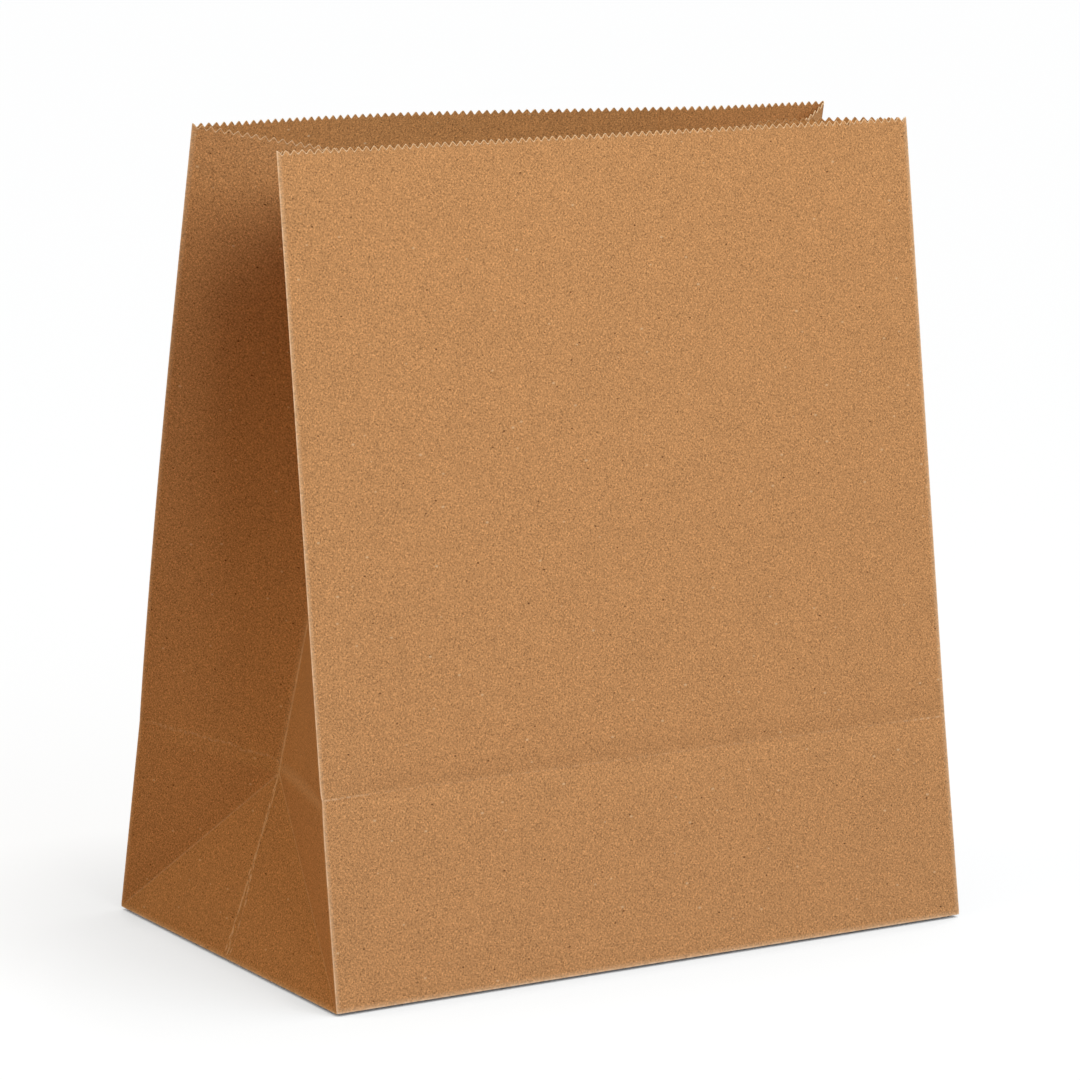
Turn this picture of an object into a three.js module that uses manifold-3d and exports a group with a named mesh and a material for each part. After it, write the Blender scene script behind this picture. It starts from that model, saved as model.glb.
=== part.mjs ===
// A square-bottomed kraft paper bag that stands open: one sheet, folded, glued and pinked at the mouth.
// Millimetres, +Z up. The origin is the middle of the flat bottom, the front panel faces -Y.

import * as THREE from "three";
import { mergeVertices } from "three/addons/utils/BufferGeometryUtils.js";
import Module from "manifold-3d";

const wasm = await Module();
wasm.setup();

// The flat sizes of the bag
const BAG_WIDTH = 230; // front and back panels, fold to fold
const BAG_DEPTH = 127; // side gussets, fold to fold
const PANEL_HEIGHT = 250; // bottom fold to the points of the mouth, along the paper
const PAPER_THICKNESS = 0.15;

// How the panels stand: each distance is inwards from the edge of the bottom
const FRONT_CREASE_SET_IN = 12.5;
const BACK_CREASE_SET_IN = 9;
const FRONT_MOUTH_SET_IN = 46;
const BACK_MOUTH_SET_IN = 36;

// The side gussets: a point where the diagonals meet, and a centre fold from there to the mouth
const GUSSET_SLACK = 6; // paper length that the bowed lower gusset takes up
const GUSSET_POINT_SET_IN = 17;
const CREASE_ABOVE_POINT = 4.5; // the crease of the flat-folded bag runs this far above the points
const CREASE_SET_IN = 18.5; // at the gusset's centre fold
const CREASE_DIP = 3.5; // the crease sinks this far from the panels to the centre fold
const CREASE_BOW = 1.2; // and bows up this far on the way
const MOUTH_FOLD_SET_IN = 56; // at the mouth, where the gussets are folded in deepest
const MOUTH_FOLD_DIP = 9; // the mouth sinks this far from the panels to the centre fold

// The pinked edge, the glued back seam and the glued bottom flaps
const TOOTH_PITCH = 2.74;
const TOOTH_DEPTH = 1.5;
const SEAM_WIDTH = 22;
const SEAM_OFFSET = 62; // from the middle of the back panel to the middle of the seam
const FLAP_OVERLAP = 22; // where the two long bottom flaps lie on each other
const LAYER = PAPER_THICKNESS;
const BITE = PAPER_THICKNESS / 2; // how deep a glued layer is sunk in the one that carries it
const STACK = 3 * LAYER; // the bottom's layers: the walls rise straight past them

const kraft = new THREE.MeshStandardMaterial({
  color: 0xc08c5a,
  roughness: 0.9,
  metalness: 0,
  flatShading: true,
});

// The rise over a length of paper that leans inwards
function rise(paper, lean) {
  return Math.sqrt(paper * paper - lean * lean);
}

// Heights and places that follow from the sizes
const gussetPoint = BAG_DEPTH / 2 - GUSSET_SLACK;
const creasePaper = gussetPoint + CREASE_ABOVE_POINT;
const upperPaper = PANEL_HEIGHT - creasePaper;
const halfWidth = BAG_WIDTH / 2;
const halfDepth = BAG_DEPTH / 2;

// One long panel's places: dir is -1 at the front and 1 at the back
function panelProfile(dir, creaseSetIn, mouthSetIn) {
  const creaseZ = rise(creasePaper, creaseSetIn);
  return {
    baseY: dir * halfDepth,
    creaseY: dir * (halfDepth - creaseSetIn),
    creaseZ: STACK + creaseZ,
    mouthY: dir * (halfDepth - mouthSetIn),
    mouthZ: STACK + creaseZ + rise(upperPaper, mouthSetIn - creaseSetIn),
  };
}

const front = panelProfile(-1, FRONT_CREASE_SET_IN, FRONT_MOUTH_SET_IN);
const back = panelProfile(1, BACK_CREASE_SET_IN, BACK_MOUTH_SET_IN);

// The corners of one side of the bag: side is -1 at the left and 1 at the right
function sideCorners(side) {
  const x = side * halfWidth;
  const inwards = (setIn) => x - side * setIn;
  const pointZ = STACK + rise(gussetPoint, GUSSET_POINT_SET_IN);
  const creaseZ = (front.creaseZ + back.creaseZ) / 2 - CREASE_DIP;
  const mouthZ = (front.mouthZ + back.mouthZ) / 2 - MOUTH_FOLD_DIP;
  return {
    frontBase: new THREE.Vector3(x, front.baseY, 0),
    backBase: new THREE.Vector3(x, back.baseY, 0),
    frontHeel: new THREE.Vector3(x, front.baseY, STACK),
    backHeel: new THREE.Vector3(x, back.baseY, STACK),
    middleHeel: new THREE.Vector3(x, 0, STACK),
    point: new THREE.Vector3(inwards(GUSSET_POINT_SET_IN), 0, pointZ),
    frontCrease: new THREE.Vector3(x, front.creaseY, front.creaseZ),
    backCrease: new THREE.Vector3(x, back.creaseY, back.creaseZ),
    foldCrease: new THREE.Vector3(inwards(CREASE_SET_IN), (front.creaseY + back.creaseY) / 2, creaseZ),
    frontMouth: new THREE.Vector3(x, front.mouthY, front.mouthZ),
    backMouth: new THREE.Vector3(x, back.mouthY, back.mouthZ),
    foldMouth: new THREE.Vector3(inwards(MOUTH_FOLD_SET_IN), (front.mouthY + back.mouthY) / 2, mouthZ),
  };
}

// The points of a pinked edge from one corner to another, without the corners themselves
function pinkedEdge(from, to, below) {
  const along = to.clone().sub(from);
  const count = Math.max(1, Math.round(along.length() / TOOTH_PITCH));
  const axis = along.clone().normalize();
  const down = below.clone().sub(from);
  down.addScaledVector(axis, -down.dot(axis)).normalize();
  const points = [];
  for (let tooth = 0; tooth < count; tooth++) {
    if (tooth > 0) {
      points.push(from.clone().addScaledVector(along, tooth / count));
    }
    const valley = from.clone().addScaledVector(along, (tooth + 0.5) / count);
    points.push(valley.addScaledVector(down, TOOTH_DEPTH));
  }
  return points;
}

// Half a gusset above the crease, which twists a little: one strip of paper under each tooth
function gussetHalf(creaseStart, creaseEnd, mouthStart, mouthEnd) {
  const edge = [mouthStart, ...pinkedEdge(mouthStart, mouthEnd, creaseStart), mouthEnd];
  const teeth = (edge.length - 1) / 2;
  const crease = [creaseStart];
  for (let tooth = 1; tooth < teeth; tooth++) {
    const share = tooth / teeth;
    const onCrease = creaseStart.clone().lerp(creaseEnd, share);
    onCrease.z += 4 * CREASE_BOW * share * (1 - share);
    crease.push(onCrease);
  }
  crease.push(creaseEnd);
  const strips = [];
  for (let tooth = 0; tooth < teeth; tooth++) {
    const tips = edge.slice(2 * tooth, 2 * tooth + 3);
    strips.push([crease[tooth], ...tips, crease[tooth + 1]]);
  }
  return { crease, strips };
}

// The facets of one gusset, each a loop of shared points that turns left seen from outside
function gussetFacets(side, c) {
  const frontHalf = gussetHalf(c.frontCrease, c.foldCrease, c.frontMouth, c.foldMouth);
  const backHalf = gussetHalf(c.foldCrease, c.backCrease, c.foldMouth, c.backMouth);
  const loops = [
    [c.backBase, c.frontBase, c.frontHeel, c.middleHeel, c.backHeel],
    [c.middleHeel, c.frontHeel, c.point],
    [c.backHeel, c.middleHeel, c.point],
    [c.frontHeel, c.frontCrease, c.point],
    [c.backCrease, c.backHeel, c.point],
    [...frontHalf.crease, c.point],
    [...backHalf.crease, c.point],
    ...frontHalf.strips,
    ...backHalf.strips,
  ];
  return side < 0 ? loops : loops.map((loop) => loop.reverse());
}

// A long panel above its heel, from the corners at the start of its width to those at its end
function panelFacets(start, end) {
  const edge = pinkedEdge(end.mouth, start.mouth, end.crease);
  return [
    [start.heel, end.heel, end.crease, start.crease],
    [start.crease, end.crease, end.mouth, ...edge, start.mouth],
  ];
}

function heelFacet(start, end) {
  return [start.base, end.base, end.heel, start.heel];
}

function panelEnd(corners, name) {
  return {
    base: corners[name + "Base"],
    heel: corners[name + "Heel"],
    crease: corners[name + "Crease"],
    mouth: corners[name + "Mouth"],
  };
}

// The normal of a loop of points, by Newell's sum
function loopNormal(loop) {
  const sum = new THREE.Vector3();
  loop.forEach((p, i) => sum.add(p.clone().cross(loop[(i + 1) % loop.length])));
  return sum.normalize();
}

// The triangles of a loop as index triples, which turn the way the loop does
function loopTriangles(loop, normal) {
  const u = loop[1].clone().sub(loop[0]);
  u.addScaledVector(normal, -u.dot(normal)).normalize();
  const v = normal.clone().cross(u);
  const flat = loop.map((p) => new THREE.Vector2(p.dot(u), p.dot(v)));
  return THREE.ShapeUtils.triangulateShape(flat, []).map(([a, b, c]) => {
    const ab = flat[b].clone().sub(flat[a]);
    const ac = flat[c].clone().sub(flat[a]);
    return ab.cross(ac) < 0 ? [a, c, b] : [a, b, c];
  });
}

// The move that takes a corner one unit inwards from every facet that meets there
function inwardMove(normals, onFloor) {
  const weights = new THREE.Matrix3().set(0, 0, 0, 0, 0, 0, 0, 0, 0);
  const target = new THREE.Vector3();
  const addOuter = (n, weight) => {
    const e = weights.elements;
    [n.x, n.y, n.z].forEach((a, col) => {
      [n.x, n.y, n.z].forEach((b, row) => {
        e[col * 3 + row] += weight * a * b;
      });
    });
  };
  for (const normal of normals) {
    addOuter(normal, 1);
    target.sub(normal);
  }
  const steady = 1e-4; // keeps the move short where the facets are nearly level
  weights.elements[0] += steady;
  weights.elements[4] += steady;
  weights.elements[8] += steady;
  if (onFloor) {
    addOuter(new THREE.Vector3(0, 0, 1), 1e6);
  }
  return target.applyMatrix3(weights.invert());
}

// A closed solid from folded facets: paper from the depth outer to the depth inner below them
function foldedSheet(facets, outer, inner) {
  const index = new Map();
  const corners = [];
  for (const point of facets.flat()) {
    if (!index.has(point)) {
      index.set(point, corners.length);
      corners.push({ point, normals: [] });
    }
  }
  const triangles = [];
  const edges = new Map();
  for (const loop of facets) {
    const normal = loopNormal(loop);
    const ids = loop.map((p) => index.get(p));
    ids.forEach((id) => corners[id].normals.push(normal));
    loopTriangles(loop, normal).forEach((t) => triangles.push(t.map((i) => ids[i])));
    ids.forEach((id, i) => edges.set(id + "," + ids[(i + 1) % ids.length], [id, ids[(i + 1) % ids.length]]));
  }
  const moves = corners.map((c) => inwardMove(c.normals, c.point.z === 0));
  const layers = [outer, inner].map((depth) =>
    corners.map((c, i) => c.point.clone().addScaledVector(moves[i], depth)),
  );
  const positions = layers.flat().flatMap((p) => [p.x, p.y, p.z]);
  const below = corners.length;
  const faces = [];
  for (const [a, b, c] of triangles) {
    faces.push(a, b, c, below + a, below + c, below + b);
  }
  for (const [a, b] of edges.values()) {
    if (!edges.has(b + "," + a)) {
      faces.push(b, a, below + a, b, below + a, below + b);
    }
  }
  return toSolid(positions, faces);
}

// A flat layer of paper over an outline, from one height to another
function plate(outline, low, high) {
  const shape = new THREE.Shape(outline.map(([x, y]) => new THREE.Vector2(x, y)));
  const block = new THREE.ExtrudeGeometry(shape, { depth: high - low, bevelEnabled: false });
  block.translate(0, 0, low);
  block.deleteAttribute("normal");
  block.deleteAttribute("uv");
  const merged = mergeVertices(block, 1e-5);
  return toSolid(merged.attributes.position.array, merged.index.array);
}

function toSolid(positions, faces) {
  return new wasm.Manifold(
    new wasm.Mesh({
      numProp: 3,
      vertProperties: new Float32Array(positions),
      triVerts: new Uint32Array(faces),
    }),
  );
}

// The four walls, folded from one sheet
function walls() {
  const left = sideCorners(-1);
  const right = sideCorners(1);
  const frontEnds = [panelEnd(left, "front"), panelEnd(right, "front")];
  const backEnds = [panelEnd(right, "back"), panelEnd(left, "back")];
  const facets = [
    heelFacet(...frontEnds),
    ...panelFacets(...frontEnds),
    heelFacet(...backEnds),
    ...panelFacets(...backEnds),
    ...gussetFacets(-1, left),
    ...gussetFacets(1, right),
  ];
  return foldedSheet(facets, 0, LAYER);
}

// The seam: the sheet's two edges lie on each other down the back panel, teeth on teeth
function seam() {
  const pitch = BAG_WIDTH / Math.round(BAG_WIDTH / TOOTH_PITCH);
  const onTooth = (x) => halfWidth - Math.round((halfWidth - x) / pitch) * pitch;
  const end = (x) => {
    const crease = new THREE.Vector3(x, back.creaseY, back.creaseZ);
    const heel = new THREE.Vector3(x, back.baseY, STACK);
    return {
      heel: heel.lerp(crease, LAYER / creasePaper),
      crease,
      mouth: new THREE.Vector3(x, back.mouthY, back.mouthZ),
    };
  };
  const start = end(onTooth(SEAM_OFFSET + SEAM_WIDTH / 2));
  const finish = end(onTooth(SEAM_OFFSET - SEAM_WIDTH / 2));
  return foldedSheet(panelFacets(start, finish), BITE, 2 * LAYER);
}

// The bottom, folded like an envelope: side flaps inside, long flaps glued over them outside
function bottomLayers() {
  const edgeX = halfWidth - BITE;
  const edgeY = halfDepth - BITE;
  const notch = halfWidth - halfDepth;
  const reach = (BAG_DEPTH + FLAP_OVERLAP) / 2;
  const lap = FLAP_OVERLAP / 2;
  const longFlaps = [
    [-edgeX, -edgeY],
    [edgeX, -edgeY],
    [notch, 0],
    [edgeX, edgeY],
    [-edgeX, edgeY],
    [-notch, 0],
  ];
  const lapStrip = [
    [-notch - lap, -lap],
    [notch + lap, -lap],
    [notch - lap, lap],
    [-notch + lap, lap],
  ];
  const layers = [plate(longFlaps, 0, LAYER), plate(lapStrip, BITE, 2 * LAYER)];
  for (const side of [-1, 1]) {
    const outline = (points) => (side > 0 ? points : points.reverse()).map(([x, y]) => [side * x, y]);
    const inner = halfWidth - reach;
    const web = [
      [edgeX, -edgeY],
      [notch, 0],
      [edgeX, edgeY],
      [inner, edgeY],
      [inner, -edgeY],
    ];
    const flap = [
      [edgeX, -edgeY],
      [edgeX, edgeY],
      [inner, edgeY],
      [inner, -edgeY],
    ];
    layers.push(plate(outline(web), BITE, 2 * LAYER + BITE));
    layers.push(plate(outline(flap), 2 * LAYER, STACK));
  }
  return layers;
}

// The whole bag as one glued piece
function paperBag() {
  const solid = [seam(), ...bottomLayers()].reduce((sum, layer) => sum.add(layer), walls());
  const mesh = solid.getMesh();
  const geometry = new THREE.BufferGeometry();
  geometry.setAttribute("position", new THREE.BufferAttribute(mesh.vertProperties, 3));
  geometry.setIndex(new THREE.BufferAttribute(mesh.triVerts, 1));
  geometry.computeVertexNormals();
  const bag = new THREE.Mesh(geometry, kraft);
  bag.name = "paper_bag";
  return bag;
}

const group = new THREE.Group();
group.add(paperBag());

export default group;
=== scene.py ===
"""A brown kraft paper lunch bag that stands open on a pale floor.

The bag is one sheet: a tube of two long panels and two folded-in gussets, pinked at the mouth, glued
down the back and folded shut below like an envelope. Its sizes are millimetres until a mesh is made.
"""

import logging
import math
from dataclasses import dataclass, field
from enum import Enum
from typing import Any

import bpy
import numpy as np
from mathutils import Matrix, Vector


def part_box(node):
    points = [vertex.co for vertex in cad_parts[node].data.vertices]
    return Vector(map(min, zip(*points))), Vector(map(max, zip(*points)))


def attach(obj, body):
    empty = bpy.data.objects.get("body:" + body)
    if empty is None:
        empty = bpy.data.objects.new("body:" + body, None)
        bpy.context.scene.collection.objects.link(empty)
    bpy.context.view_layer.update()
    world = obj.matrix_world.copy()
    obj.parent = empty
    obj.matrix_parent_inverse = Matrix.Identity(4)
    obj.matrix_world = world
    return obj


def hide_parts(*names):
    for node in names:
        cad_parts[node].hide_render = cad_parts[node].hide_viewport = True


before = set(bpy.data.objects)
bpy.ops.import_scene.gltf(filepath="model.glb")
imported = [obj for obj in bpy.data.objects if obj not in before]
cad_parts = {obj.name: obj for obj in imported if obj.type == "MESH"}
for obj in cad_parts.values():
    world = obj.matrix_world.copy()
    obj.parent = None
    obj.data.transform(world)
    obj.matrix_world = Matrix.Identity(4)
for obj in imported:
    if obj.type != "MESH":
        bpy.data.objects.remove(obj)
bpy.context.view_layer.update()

NODE = "paper_bag"
MM = 0.001
FAR = 99.0
TINY = 1e-6
FACE_TEETH = 100
FOLD_MARKS = ("Fold", "Valley", "Mid", "Crease", "Rim")
CUTTING_MARKS = ("rim", "down", "phase", "tooth", "finish")

LOG = logging.getLogger("paper_bag")

Array = np.ndarray
Point = tuple[float, float, float]
Socket = bpy.types.NodeSocket


def rise(paper: float, lean: float) -> float:
    """Return the height that a length of paper reaches when it leans this far."""
    return math.sqrt(paper * paper - lean * lean)


def smooth_step(value: Array | float) -> Array:
    """Return the soft 0 to 1 step of a value that is first held between 0 and 1."""
    held = np.clip(value, 0.0, 1.0)
    return held * held * (3 - 2 * held)


def between(start: Array, end: Array, share: Array | float) -> Array:
    """Return the points at these shares of the way from start to end.

    Args:
        start: One point, or one for each share.
        end: As start.
        share: One share, or one for each result.

    Returns:
        The points, one row for each share.
    """
    part = np.asarray(share, float)[..., None]
    return np.asarray(start, float) * (1 - part) + np.asarray(end, float) * part


def mixed_in(fine: Array, coarse: Array, least: float) -> Array:
    """Return the coarse places and those fine places that keep the least distance from them."""
    kept = [place for place in fine if np.abs(coarse - place).min() > least]
    return np.array(sorted([*kept, *coarse]))


class Face(Enum):
    """The six pieces round the tube, each as the sign of its side and of its panel."""

    FRONT = (0, -1)
    RIGHT_FRONT = (1, -1)
    RIGHT_BACK = (1, 1)
    BACK = (0, 1)
    LEFT_BACK = (-1, 1)
    LEFT_FRONT = (-1, -1)

    @property
    def side(self) -> int:
        """The sign of X, or 0 on a long panel."""
        return self.value[0]

    @property
    def panel(self) -> int:
        """The sign of Y of the long panel that this piece is or joins."""
        return self.value[1]


class Finish(Enum):
    """The finishes of the sheet, in the order of its material slots."""

    OUTSIDE = 0
    INSIDE = 1
    CUT_EDGE = 2


@dataclass(frozen=True)
class Lean:
    """How a long panel leans in from the edge of the bottom, at its crease and at the mouth.

    The shifts say how far the paper gives at each end of the crease and of the mouth, left end first.
    The pulls bend the right gusset's mouth edge beside the panel, from its outer fold.
    """

    crease: float
    mouth: float
    crease_shifts: tuple[Point, Point]
    mouth_shifts: tuple[Point, Point]
    pulls: tuple[Point, Point]


@dataclass(frozen=True)
class Pinking:
    """The zigzag cut of the mouth."""

    pitch: float = 2.74
    depth: float = 1.3
    points: int = 8
    roundness: float = 0.6
    unevenness: float = 0.2
    strip: float = 3.2
    collar: float = 0.4
    seed: int = 7


@dataclass
class Draft:
    """A growing mesh: its points, its faces with their paper places, and the marks of its points."""

    points: list[Array] = field(default_factory=list)
    faces: list[tuple[int, ...]] = field(default_factory=list)
    papers: list[list[tuple[float, float]]] = field(default_factory=list)
    finishes: list[Finish] = field(default_factory=list)
    marks: dict[str, list[Array]] = field(default_factory=dict)
    count: int = 0

    def add_points(self, points: Array, **marks: Array | float) -> int:
        """Add points with their marks.

        Args:
            points: One row for each point.
            marks: For each name, one value for all of the points or one for each.

        Returns:
            The index of the first of them.
        """
        first = self.count
        self.points.append(np.asarray(points, float))
        self.count += len(points)
        for name, value in marks.items():
            row = np.zeros((len(points), *np.shape(value)[1:]))
            row[:] = value
            self.marks.setdefault(name, []).append(row)
        return first

    def add_face(self, corners: tuple[int, ...], paper: list[tuple[float, float]],
                 finish: Finish = Finish.OUTSIDE) -> None:
        """Add one face.

        Args:
            corners: The index of each corner's point.
            paper: Each corner's place on the flat paper.
            finish: The face's finish.
        """
        self.faces.append(corners)
        self.papers.append(paper)
        self.finishes.append(finish)

    def stacked(self) -> tuple[Array, dict[str, Array]]:
        """Return the points and the marks, each as one array."""
        return np.concatenate(self.points), {k: np.concatenate(v) for k, v in self.marks.items()}

    def normals(self, longest: float = 1.6) -> Array:
        """Return the way out at every point.

        It is longer at a fold, so that a step along it keeps the paper's thickness.

        Args:
            longest: The greatest length, which rounds the sharpest folds.

        Returns:
            One vector for each point.
        """
        points = np.concatenate(self.points)
        total = np.zeros_like(points)
        flats = []
        for corners in self.faces:
            ring = points[list(corners)]
            area = np.cross(ring - ring[0], np.roll(ring, -1, axis=0) - ring[0]).sum(axis=0)
            total[list(corners)] += area
            flats.append(area / max(np.linalg.norm(area), 1e-12))
        unit = total / np.maximum(np.linalg.norm(total, axis=1), 1e-12)[:, None]
        least = np.ones(len(points))
        for corners, flat in zip(self.faces, flats):
            ring = list(corners)
            least[ring] = np.minimum(least[ring], unit[ring] @ flat)
        return unit * np.minimum(1 / np.maximum(least, 1e-3), longest)[:, None]


@dataclass
class Tube:
    """The shape of the folded tube: where every place of the flat paper stands."""

    width: float
    depth: float
    panel_height: float = 250.0
    paper: float = 0.25
    gusset_slack: float = 6.0
    point_set_in: float = 17.0
    crease_above_point: float = 4.5
    crease_fold_set_in: float = 18.5
    crease_dip: float = 3.5
    crease_bow: float = 1.2
    mouth_fold_set_in: float = 56.0
    mouth_fold_dip: float = 9.0
    margins: tuple[float, float] = (0.45, 0.95)
    seam_width: float = 22.0
    seam_offset: float = 62.0
    seam_settle: float = 8.0
    seam_layer: float = 0.12
    back_bulge: float = 8.0
    back_bulge_spread: float = 1.25
    back_bulge_skew: float = 0.8
    back_fold_bow: float = 1.0
    back_sag: float = 2.0
    back_sag_start: float = 0.66
    edge_lift: float = 0.7
    front_wave: float = 0.7
    front_wave_span: float = 5.0
    front_wave_start: float = 0.6
    crease_dent: float = 0.7
    crease_reach: float = 8.0
    crease_pinch: float = 0.45
    crease_pinch_above: float = 1.2
    crease_pinch_below: float = 7.0
    layer_reach: float = 12.0
    curve_points: int = 400
    front: Lean = Lean(
        crease=12.5, mouth=46.0,
        crease_shifts=((0.1, -0.6, -0.3), (0.0, -0.1, 0.4)),
        mouth_shifts=((0.2, -0.4, -0.7), (-0.3, 0.6, 0.5)),
        pulls=((-5.7, -0.2, -0.3), (-59.2, 25.5, 1.6)))
    back: Lean = Lean(
        crease=9.0, mouth=36.0,
        crease_shifts=((0.0, -0.2, -0.5), (0.0, -0.2, -0.2)),
        mouth_shifts=((-0.9, 1.2, 0.1), (0.3, -0.7, -1.2)),
        pulls=((0.6, -4.1, 1.8), (-38.9, -14.9, -20.5)))
    pinking: Pinking = Pinking()

    def __post_init__(self) -> None:
        """Work out the places that follow from the sizes."""
        self.half_width = self.width / 2 - self.paper
        self.half_depth = self.depth / 2 - self.paper
        self.point_paper = self.depth / 2 - self.gusset_slack
        self.crease_paper = self.point_paper + self.crease_above_point
        self.stack = 2 * self.paper + self.edge_lift
        self.panel_teeth = round(self.width / self.pinking.pitch)
        self.gusset_teeth = round(self.depth / 2 / self.pinking.pitch)
        pitch = 2 * self.half_width / self.panel_teeth
        seam = [self.seam_offset - self.seam_width / 2, self.seam_offset + self.seam_width / 2]
        self.seam = [round((x + self.half_width) / pitch) * pitch - self.half_width for x in seam]
        self.right_edges = {-1: self.mouth_curve(-1), 1: self.mouth_curve(1)}

    def lean(self, panel: int) -> Lean:
        """Return how the front or the back panel leans."""
        return self.front if panel < 0 else self.back

    def height_share(self, paper_height: float) -> float:
        """Return the share of the way from the crease up to the mouth, 0 below the crease."""
        return max(0.0, (paper_height - self.crease_paper) / (self.panel_height - self.crease_paper))

    def panel_line(self, panel: int, paper_height: float) -> tuple[float, float]:
        """Return a long panel's Y and Z at a height along the paper.

        Args:
            panel: The sign of the panel.
            paper_height: The distance from the heel, along the paper.

        Returns:
            The place's Y and Z.
        """
        lean = self.lean(panel)
        crease_z = rise(self.crease_paper, lean.crease)
        mouth_z = crease_z + rise(self.panel_height - self.crease_paper, lean.mouth - lean.crease)
        low = min(1.0, paper_height / self.crease_paper)
        high = self.height_share(paper_height)
        set_in = lean.crease * low + (lean.mouth - lean.crease) * high
        return panel * (self.half_depth - set_in), self.stack + crease_z * low + (mouth_z - crease_z) * high

    def panel_row(self, panel: int, paper_height: float, xs: Array) -> Array:
        """Return a long panel's points at one height.

        Args:
            panel: The sign of the panel.
            paper_height: The distance from the heel, along the paper.
            xs: The points' X places.

        Returns:
            One point for each place.
        """
        y, z = self.panel_line(panel, paper_height)
        lean = self.lean(panel)
        high = self.height_share(paper_height)
        low = min(1.0, paper_height / self.crease_paper) * (1 - high)
        xs = np.asarray(xs, float)
        along = (xs + self.half_width) / (2 * self.half_width)
        shift = low * between(*lean.crease_shifts, along) + high * between(*lean.mouth_shifts, along)
        if panel > 0:
            hump = np.clip(along * self.back_bulge_spread, 0, 1) ** self.back_bulge_skew
            hollow = np.clip((along - self.back_sag_start) / (1 - self.back_sag_start), 0, 1)
            bulge = np.sin(math.pi * hump) ** 2 * self.back_bulge
            sag = np.sin(math.pi * hollow) ** 2 * self.back_sag
            swell = (bulge - sag) * high
        else:
            edge = np.sin(math.pi * along) ** 2
            wave = np.sin(self.front_wave_span * along + self.front_wave_start)
            swell = self.front_wave * edge * wave * math.sin(math.pi * high)
        above = max(paper_height - self.crease_paper, 0.0)
        below = max(self.crease_paper - paper_height, 0.0)
        side = np.abs(2 * along - 1)
        dent = self.crease_dent * math.exp(-(above + below) / self.crease_reach) * (1 - side ** 10)
        if panel < 0:
            near = math.exp(-above / self.crease_pinch_above - below / self.crease_pinch_below)
            give = self.crease_pinch * near * (1 - along) ** 60
        else:
            give = -self.back_fold_bow * math.sin(math.pi * high ** 0.8) * (1 - along) ** 8
        row = np.column_stack([xs + give, y + panel * (swell - dent), np.full(len(xs), z)])
        return row + shift

    def corner(self, face: Face, paper_height: float) -> Array:
        """Return the point of a gusset's outer fold at a height along the paper."""
        return self.panel_row(face.panel, paper_height, np.array([face.side * self.half_width]))[0]

    def middle(self, paper_height: float, set_in: float, dip: float) -> Array:
        """Return the point of the left or right centre plane between both panels.

        Args:
            paper_height: The distance from the heel, along the paper.
            set_in: The distance inwards from the side.
            dip: The distance below the panels' mean height.

        Returns:
            The point on the right side.
        """
        lines = (self.panel_line(-1, paper_height), self.panel_line(1, paper_height))
        y, z = ((front + back) / 2 for front, back in zip(*lines))
        return np.array([self.half_width - set_in, y, z - dip])

    def fold_point(self, side: int, paper_height: float) -> Array:
        """Return the point of a gusset's centre fold.

        Args:
            side: The sign of the gusset's side.
            paper_height: The distance from the heel, along the paper.

        Returns:
            The point.
        """
        flip = np.array([side, 1, 1])
        heel = np.array([self.half_width, 0, self.stack])
        point = heel + np.array([-self.point_set_in, 0, rise(self.point_paper, self.point_set_in)])
        crease = self.middle(self.crease_paper, self.crease_fold_set_in, self.crease_dip)
        mouth = self.middle(self.panel_height, self.mouth_fold_set_in, self.mouth_fold_dip)
        if paper_height <= self.point_paper:
            return flip * between(heel, point, paper_height / self.point_paper)
        if paper_height <= self.crease_paper:
            return flip * between(point, crease, (paper_height - self.point_paper) / self.crease_above_point)
        return flip * between(crease, mouth, self.height_share(paper_height))

    def mouth_curve(self, panel: int) -> Array:
        """Return the right gusset's mouth edge beside a panel, from its outer fold.

        Args:
            panel: The sign of the panel.

        Returns:
            Many points on a cubic curve, evenly spaced along it.
        """
        start = self.panel_row(panel, self.panel_height, np.array([self.half_width]))[0]
        end = self.fold_point(1, self.panel_height)
        pulls = start + np.array(self.lean(panel).pulls)
        t = np.linspace(0, 1, self.curve_points)[:, None]
        curve = (1 - t) ** 3 * start + 3 * t * (1 - t) ** 2 * pulls[0]
        curve = curve + 3 * t * t * (1 - t) * pulls[1] + t ** 3 * end
        lengths = np.concatenate([[0], np.cumsum(np.linalg.norm(np.diff(curve, axis=0), axis=1))])
        even = np.linspace(0, lengths[-1], self.curve_points)
        return np.column_stack([np.interp(even, lengths, curve[:, axis]) for axis in range(3)])

    def gusset_row(self, face: Face, paper_height: float, shares: Array) -> Array:
        """Return half a gusset's points at one height, from its outer fold to its centre fold.

        Args:
            face: The half gusset.
            paper_height: The distance from the heel, along the paper.
            shares: The places across the half, 0 at the outer fold.

        Returns:
            One point for each share.
        """
        outer = self.corner(face, paper_height)
        middle = self.fold_point(face.side, paper_height)
        if paper_height >= self.point_paper:
            row = between(outer, middle, shares)
            high = self.height_share(paper_height)
            fade = min(1 - high, (paper_height - self.point_paper) / self.crease_above_point)
            row[:, 2] += 4 * self.crease_bow * fade * shares * (1 - shares)
            if face.side > 0 and high > 0:
                edge = self.right_edges[face.panel]
                places = np.linspace(0, 1, len(edge))
                bent = np.column_stack([np.interp(shares, places, edge[:, axis]) for axis in range(3)])
                row += high * (bent - between(edge[0], edge[-1], shares))
            return row
        bend = paper_height / self.point_paper
        diagonal = between(self.corner(face, 0.0), self.fold_point(face.side, self.point_paper), bend)
        steep = between(outer, diagonal, np.clip(shares / max(bend, TINY), 0, 1))
        sloping = between(diagonal, middle, np.clip((shares - bend) / max(1 - bend, TINY), 0, 1))
        return np.where((shares <= bend)[:, None], steep, sloping)

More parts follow.
